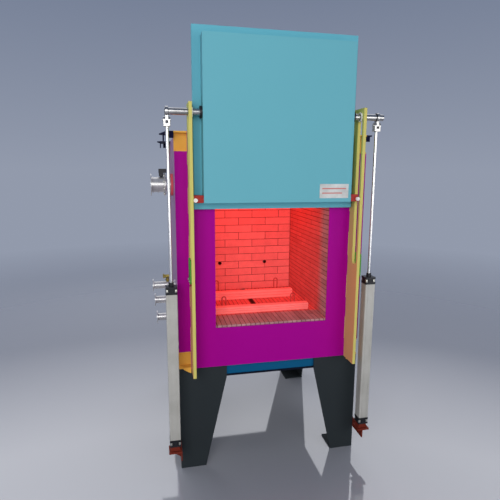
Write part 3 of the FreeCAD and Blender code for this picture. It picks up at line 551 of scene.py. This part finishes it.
def floor_bricks():
    """Bricks on edge that run from front to back, with the run-off groove left open."""
    mesh = bmesh.new()
    backing = bmesh.new()
    bottom = CHAMBER_FLOOR - LINING_THICK
    left, right = GROOVE_X - GROOVE_HALF, GROOVE_X + GROOVE_HALF
    for column, (x0, x1) in enumerate(courses(-LINING_X, LINING_X, SPLIT_COURSE)):
        shift = BRICK_LENGTH / 2 if column % 2 else 0.0
        for y0, y1 in run_of(LINING_FRONT, LINING_BACK, BRICK_LENGTH, shift):
            over_groove = min(x1, right) > max(x0, left)
            if not over_groove or y1 < GROOVE_FRONT + JOINT:
                brick(mesh, (x0, y0, bottom), (x1, y1, CHAMBER_FLOOR))
                continue
            if y0 < GROOVE_FRONT:
                brick(mesh, (x0, y0, bottom), (x1, GROOVE_FRONT, CHAMBER_FLOOR))
                y0 = GROOVE_FRONT
            under_back_wall = y0 >= CHAMBER_BACK
            for s0, s1 in [(x0, x1)] if under_back_wall else [(x0, left), (right, x1)]:
                if s1 - s0 > THINNEST_BRICK:
                    brick(mesh, (s0, y0, bottom), (s1, y1, CHAMBER_FLOOR))
    top = CHAMBER_FLOOR - MORTAR_BACK
    front = LINING_FRONT + MORTAR_BACK
    left -= 0.001
    right += 0.001
    box(backing, (-LINING_X, front, bottom), (left, LINING_BACK, top))
    box(backing, (right, front, bottom), (LINING_X, LINING_BACK, top))
    box(backing, (left, front, bottom), (right, GROOVE_FRONT, top))
    box(backing, (left, GROOVE_FRONT, bottom), (right, LINING_BACK, CHAMBER_FLOOR - GROOVE_DEPTH))
    return mesh, backing


def slab_bricks(low, high, step_x, step_y):
    """Bricks that hang side by side, as in the roof and the lintel."""
    mesh = bmesh.new()
    for row, (x0, x1) in enumerate(courses(low[0], high[0], step_x)):
        for y0, y1 in run_of(low[1], high[1], step_y, step_y / 2 if row % 2 else 0.0):
            brick(mesh, (x0, y0, low[2]), (x1, y1, high[2]))
    backing = bmesh.new()
    low = [value + MORTAR_BACK for value in low]
    high = [value - MORTAR_BACK for value in high]
    box(backing, low, high, tone=0.3)
    return mesh, backing


def lay(name, node, parts, material, holes=()):
    """Bricks replace the CAD wall; the mortar behind them is a piece of its own."""
    mesh, backing = parts
    bricks = piece(name, mesh, "frame", material, (node,), smooth=False)
    mortar = piece(name + "_mortar", backing, "frame", MORTAR, smooth=False)
    if holes:
        drill(bricks, holes)
        drill(mortar, holes)


ELEMENTS = [(number - 2) * ELEMENT_PITCH for number in range(5)]
front = CHAMBER_BACK - 0.01
back_holes = [(WALL_TUBE_HOLE, (x, front, WALL_TUBE_Z), (0, 1, 0), 0.16) for x in WALL_TUBES]
back_holes += [(ELEMENT_HOLE, (x, front, ELEMENT_Z), (0, 1, 0), 0.16) for x in ELEMENTS]
port_hole = [(FUME_HOLE, (-0.51, FUME_Y, FUME_Z), (1, 0, 0), 0.14)]
lay("bricks_back_wall", "lining_back_wall", back_wall(), BACK_BRICK, back_holes)
lay("bricks_right_wall", "lining_right_wall", side_wall(1), SIDE_BRICK)
lay("bricks_left_wall", "lining_left_wall", side_wall(-1), SIDE_BRICK, port_hole)
lay("bricks_hearth", "lining_floor", floor_bricks(), FLOOR_BRICK)
roof = slab_bricks((-LINING_X, LINING_FRONT, CHAMBER_ROOF),
                   (LINING_X, LINING_BACK, CHAMBER_ROOF + LINING_THICK),
                   ROOF_BRICK_WIDTH, BRICK_LENGTH)
lay("bricks_roof", "lining_roof", roof, SIDE_BRICK)
lintel = slab_bricks((-CHAMBER_X, LINING_FRONT, LINTEL_BOTTOM),
                     (CHAMBER_X, LINING_FRONT + LINING_THICK, CHAMBER_ROOF),
                     LINTEL_BRICK_WIDTH, LINING_THICK)
lay("bricks_lintel", "lining_lintel", lintel, SIDE_BRICK)


# ---- heating coils ----------------------------------------------------------------------------
def coils():
    """Wound wire of the five roof elements."""
    mesh = bmesh.new()
    wire = 0.0016
    pitch = 0.0085
    radius = COIL_RADIUS - wire - 0.0002
    steps = 12
    last = steps * int((COIL_BACK - COIL_FRONT) / pitch)
    advance = (COIL_BACK - COIL_FRONT - 2 * wire) / last
    for x in ELEMENTS:
        points = []
        for index in range(last + 1):
            angle = 2 * math.pi * index / steps
            y = COIL_FRONT + wire + advance * index
            z = ELEMENT_Z + radius * math.sin(angle)
            points.append(Vector((x + radius * math.cos(angle), y, z)))
        sweep(mesh, points, wire, 5)
    return mesh


piece("coil_windings", coils(), "frame", WIRE, ("element_coils",))


# ---- CAD nodes that keep their shape ----------------------------------------------------------
finish_node("front_plate", MAGENTA)
finish_node("side_panel_left side_panel_right rear_panel roof_panel terminal_cover", LILAC)
finish_node("floor_pan", BLUE)
finish_node("top_front_beam bottom_front_beam rear_beams", AMBER)
finish_node("leg_front_left leg_front_right leg_rear_left leg_rear_right", DARK)
finish_node("lifting_lugs", NAVY)
finish_node("guide_plate_left guide_plate_right", GUIDE)
finish_node("slot_stops", GREEN)
finish_node("frame_fasteners", ZINC)
finish_node("insulation_boards door_insulation door_seal", FIBRE)
finish_node("load_beam_front load_beam_rear", BEAM)
finish_node("beam_stops", HOOP)
finish_node("element_supports", ALUMINA)
finish_node("wall_tubes", TUBE)
finish_node("thermocouple upper_port lower_ports", STAINLESS)
finish_node("upper_port_ring", RED)
finish_node("roller_brackets", BRACKET)
finish_node("port_actuator", PLASTIC)
finish_node("brass_elbow", BRASS)
finish_node("cylinder_barrels", PROFILE)
finish_node("cylinder_heads cylinder_bases shaft_collars", BLACK)
finish_node("cylinder_mounts", BROWN)
finish_node("door_back_panel", TEAL)
finish_node("door_front_shell", CYAN)
finish_node("door_shaft shaft_lugs fork_pins rod_fork_left rod_fork_right", STEEL)
finish_node("piston_rod_left piston_rod_right", CHROME)
finish_node("slot_roller_left slot_roller_right guide_roller_left guide_roller_right", NYLON)
finish_node("nameplate", LABEL)


# ---- small pieces -----------------------------------------------------------------------------
def mirrored(make):
    """Calls make(mesh, side) for the right and the left side."""
    mesh = bmesh.new()
    for side in (1, -1):
        make(mesh, side)
    return mesh


def stop_bumpers(mesh, side):
    """Rubber bumper and its stud under each slot stop."""
    x = side * 0.555
    y = SHAFT_Y - 0.030
    rubber = [(0.006, 0), (0.0075, 0.001), (0.0075, 0.009), (0.005, 0.011)]
    turned(mesh, rubber, (x, y, 1.327), (0, 0, 1), 20)
    turned(mesh, [(0.004, 0), (0.004, 0.004)], (x, y, 1.338), (0, 0, 1), 16)


piece("slot_stop_bumpers", mirrored(stop_bumpers), "frame", RUBBER)


def cap_nuts(mesh, side):
    """Tie-rod nuts in the corners of the cylinder caps."""
    nut = [(0.0084, 0), (0.0088, 0.0004), (0.0088, 0.0162), (0.0080, 0.0176)]
    for x in (CYLINDERS[side] - CAP_SCREW, CYLINDERS[side] + CAP_SCREW):
        for y in (SHAFT_Y - CAP_SCREW, SHAFT_Y + CAP_SCREW):
            for z in CAP_NUTS_Z:
                turned(mesh, nut, (x, y, z), (0, 0, 1), 28)


piece("cylinder_cap_screws", mirrored(cap_nuts), "frame", ZINC)


def air_fittings(mesh, side):
    """Plugs in the air ports of both caps."""
    for z in AIR_PORTS_Z:
        bolt(mesh, (CYLINDERS[side], SHAFT_Y - 0.0335, z), (0, -1, 0), 0.012, 0.004, washer=False)


piece("cylinder_air_fittings", mirrored(air_fittings), "frame", BLACK)


def lock_nut(side):
    """Thin nut under a fork, which clears the gland when the door is down."""
    mesh = bmesh.new()
    start = (CYLINDERS[side], SHAFT_Y, FORK_BOTTOM - 0.0037)
    bolt(mesh, start, (0, 0, 1), 0.024, 0.0036, washer=False)
    return mesh


for side, word in ((1, "right"), (-1, "left")):
    piece("rod_lock_nut_" + word, lock_nut(side), "rod_" + word, ZINC)


def port_bolts():
    """Bolts round the red ring of the fume outlet."""
    mesh = bmesh.new()
    circle = 0.074
    ring_face = -0.672
    panel_face = -0.664
    for number in range(8):
        angle = (number + 0.5) * math.pi / 4
        y = FUME_Y + circle * math.cos(angle)
        z = FUME_Z + circle * math.sin(angle)
        bolt(mesh, (ring_face, y, z), (-1, 0, 0), 0.013, 0.0055)
        turned(mesh, [(0.004, 0), (0.004, 0.006)], (panel_face, y, z), (1, 0, 0), 12)
    return mesh


piece("fume_outlet_bolts", port_bolts(), "frame", ZINC)


def panel_screws():
    """Button screws of the rear panel and the terminal cover."""
    mesh = bmesh.new()
    dome = [(0.0062, 0), (0.0062, 0.001), (0.0048, 0.0032), (0.002, 0.004)]
    rows = [(REAR, (-0.56, -0.28, 0.0, 0.28, 0.56), (0.90, 2.10))]
    rows += [(REAR, (-0.56, 0.56), (1.20, 1.50, 1.80))]
    rows += [(COVER_BACK - 0.0042, (-0.34, 0.34), (1.866, 1.994))]
    for y, places, heights in rows:
        for x in places:
            for z in heights:
                turned(mesh, dome, (x, y, z), (0, 1, 0), 20)
    return mesh


piece("rear_panel_screws", panel_screws(), "frame", ZINC)


def bead(mesh, start, end, radius=0.0022):
    """Weld bead with a fine ripple."""
    sides = 6
    start, end = Vector(start), Vector(end)
    count = max(4, int((end - start).length / 0.006))
    points = [start.lerp(end, index / count) for index in range(count + 1)]
    first = len(mesh.verts)
    sweep(mesh, points, radius, sides)
    mesh.verts.ensure_lookup_table()
    for index in range(first, len(mesh.verts)):
        ring = (index - first) // sides
        centre = points[ring]
        vert = mesh.verts[index]
        swell = 1.0 + 0.12 * math.sin(ring * 2.1) + rng.uniform(-0.05, 0.05)
        vert.co = centre + (vert.co - centre) * swell


def guide_beads(mesh, side):
    """Welds between the guides and the front plate, in stretches along both edges."""
    stretches = ((0.86, 1.02), (1.16, 1.32), (1.46, 1.62), (1.76, 1.92), (2.06, 2.13))
    for x in (0.530, 0.550):
        for z0, z1 in stretches:
            bead(mesh, (side * x, FRONT, z0), (side * x, FRONT, z1))


piece("guide_weld_beads", mirrored(guide_beads), "frame", GUIDE)


def leg_beads(mesh, side):
    """Welds inside each leg: up its corner, and along both plates at the foot."""
    radius = 0.004
    foot = 0.010
    x = side * 0.620
    for end in (1, -1):
        y = end * 0.647
        bead(mesh, (x, y, 0.012), (x, y, 0.655), radius)
        bead(mesh, (side * 0.615, y, foot), (side * 0.465, y, foot), radius)
        bead(mesh, (x, end * 0.642, foot), (x, end * 0.492, foot), radius)


piece("leg_weld_beads", mirrored(leg_beads), "frame", DARK)


def plate_marks():
    """Rivets of the blank nameplate, and its two plain coloured lines."""
    mesh = bmesh.new()
    low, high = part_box("nameplate")
    face = low.y
    inset = 0.008
    head = [(0.0028, 0), (0.0024, 0.0008), (0.001, 0.0012)]
    for x in (low.x + inset, high.x - inset):
        for z in (low.z + inset, high.z - inset):
            turned(mesh, head, (x, face, z), (0, -1, 0), 16)
    lines = bmesh.new()
    for z, start, end in ((low.z + 0.056, 0.016, 0.176), (low.z + 0.028, 0.016, 0.150)):
        corner = (low.x + start, face - 0.0006, z)
        box(lines, corner, (low.x + end, face + 0.0004, z + 0.007), 0.0002)
    return mesh, lines


rivets, lines = plate_marks()
piece("nameplate_rivets", rivets, "door", ZINC)
piece("nameplate_lines", lines, "door", LINES)


def retaining_rings(mesh, side):
    """Rings that hold the slot rollers and the lugs on the shaft."""
    roller_ring = [(0.0215, 0), (0.0224, 0.0003), (0.0224, 0.0015), (0.0215, 0.0018)]
    lug_ring = [(0.0215, 0), (0.0235, 0.0003), (0.0235, 0.0012), (0.0215, 0.0014)]
    axis = abs(CYLINDERS[side])
    rings = [(0.5195, roller_ring), (0.5505, roller_ring)]
    rings += [(axis - 0.0105, lug_ring), (axis + 0.0095, lug_ring)]
    for x, profile in rings:
        turned(mesh, profile, (side * x, SHAFT_Y, SHAFT_Z), (side, 0, 0), 32)


piece("shaft_retaining_rings", mirrored(retaining_rings), "door", BLACK)


# ---- floor, light and camera ------------------------------------------------------------------
def studio_floor():
    """Pale floor disc that thins out into the backdrop."""
    mesh = bmesh.new()
    bmesh.ops.create_circle(mesh, cap_ends=True, radius=11.0, segments=96)
    data = bpy.data.meshes.new("floor")
    mesh.to_mesh(data)
    mesh.free()
    floor = bpy.data.objects.new("floor", data)
    bpy.context.scene.collection.objects.link(floor)
    n = Nodes("studio_floor")
    n.set(Base_Color=srgb(156, 157, 162), Roughness=0.05, IOR=2.2)
    away = n.add("ShaderNodeVectorMath", {0: n.coords}, operation="LENGTH").outputs["Value"]
    n.set(Alpha=n.range(away, 1.0, 0.0, 2.6, 9.5))
    data.materials.append(n.material)
    return floor


def light(name, place, aim, size, power, colour=(1, 1, 1), mirrored_in_gloss=True):
    """Soft rectangular lamp that the camera doesn't see; gloss may be kept from mirroring it."""
    lamp = bpy.data.lights.new(name, "AREA")
    lamp.shape = "RECTANGLE"
    lamp.size, lamp.size_y = size
    lamp.energy = power
    lamp.color = colour
    obj = bpy.data.objects.new(name, lamp)
    obj.location = place
    obj.rotation_euler = (Vector(aim) - Vector(place)).to_track_quat("-Z", "Y").to_euler()
    obj.visible_camera = False
    obj.visible_glossy = mirrored_in_gloss
    bpy.context.scene.collection.objects.link(obj)
    return obj


def split_light(name, place, aim, size, power):
    """A lamp that metal mirrors, and its twin for the floor, which would show it as a white square."""
    twins = ((name, True, "EXCLUDE"), (name + "_floor", False, "INCLUDE"))
    for twin, mirrored, state in twins:
        lamp = light(twin, place, aim, size, power, mirrored_in_gloss=mirrored)
        receivers = bpy.data.collections.new(twin + "_receivers")
        receivers.objects.link(floor)
        receivers.collection_objects[0].light_linking.link_state = state
        lamp.light_linking.receiver_collection = receivers


def camera():
    """Camera at the photograph's place and angle."""
    place = (-0.769, -3.4555, 2.0294)
    yaw, pitch, roll = (math.radians(angle) for angle in (12.374, -10.166, 0.281))
    data = bpy.data.cameras.new("camera")
    data.sensor_width = 36.0
    data.lens = 32.09
    data.clip_end = 60.0
    obj = bpy.data.objects.new("camera", data)
    ahead = math.cos(pitch)
    forward = Vector((math.sin(yaw) * ahead, math.cos(yaw) * ahead, math.sin(pitch)))
    level = Vector((math.cos(yaw), -math.sin(yaw), 0))
    up = level.cross(forward)
    right = level * math.cos(roll) + up * math.sin(roll)
    top = up * math.cos(roll) - level * math.sin(roll)
    turn = Matrix((right, top, -forward)).transposed().to_4x4()
    obj.matrix_world = Matrix.Translation(place) @ turn
    bpy.context.scene.collection.objects.link(obj)
    bpy.context.scene.camera = obj


def backdrop():
    """Plain blue-grey surround, darker overhead, with a bright soft panel high up behind the kiln."""
    world = bpy.data.worlds.new("studio")
    world.use_nodes = True
    tree = world.node_tree

    def add(kind, links, start=0.0, end=1.0):
        node = tree.nodes.new(kind)
        for key, source in links.items():
            tree.links.new(source, node.inputs[key])
        if kind == "ShaderNodeMapRange":
            node.inputs["From Min"].default_value = start
            node.inputs["From Max"].default_value = end
        return node

    coords = tree.nodes.new("ShaderNodeTexCoord").outputs["Generated"]
    direction = add("ShaderNodeSeparateXYZ", {0: coords}).outputs
    sky = add("ShaderNodeValToRGB", {"Fac": direction["Z"]})
    sky.color_ramp.elements[0].color = srgb(152, 160, 178)
    sky.color_ramp.elements[1].color = srgb(98, 112, 140)
    sky.color_ramp.elements[1].position = 0.55
    high = add("ShaderNodeMapRange", {"Value": direction["Z"]}, 0.35, 0.52)
    behind = add("ShaderNodeMapRange", {"Value": direction["Y"]}, 0.2, 0.5)
    both = add("ShaderNodeMath", {0: high.outputs[0], 1: behind.outputs[0]})
    both.operation = "MULTIPLY"
    panel = tree.nodes.new("ShaderNodeMix")
    panel.data_type = "RGBA"
    panel.inputs[7].default_value = (1.55, 1.57, 1.66, 1)
    tree.links.new(both.outputs[0], panel.inputs[0])
    tree.links.new(sky.outputs["Color"], panel.inputs[6])
    shader = tree.nodes["Background"]
    shader.inputs["Strength"].default_value = 0.92
    tree.links.new(panel.outputs[2], shader.inputs["Color"])
    bpy.context.scene.world = world


floor = studio_floor()
backdrop()
camera()
split_light("key", (-2.0, -5.4, 3.0), (0, 0, 1.3), (3.0, 3.0), 158)
split_light("fill", (2.6, -4.8, 1.8), (0, 0, 1.2), (2.6, 2.6), 55)
light("top", (0.2, 0.0, 5.2), (0, 0, 1), (3.5, 3.5), 45, mirrored_in_gloss=False)
light("left", (-3.6, -2.2, 0.9), (-0.6, 0, 1.3), (1.6, 0.5), 11, mirrored_in_gloss=False)
light("rear", (-1.5, 4.5, 3.2), (0, 0, 1.3), (3.0, 2.0), 60, mirrored_in_gloss=False)
light("heat", (0, -0.12, 1.895), (0, -0.12, 1.0), (0.66, 0.55), 4, (1, 0.12, 0.08))
bpy.context.scene.view_settings.view_transform = "Standard"
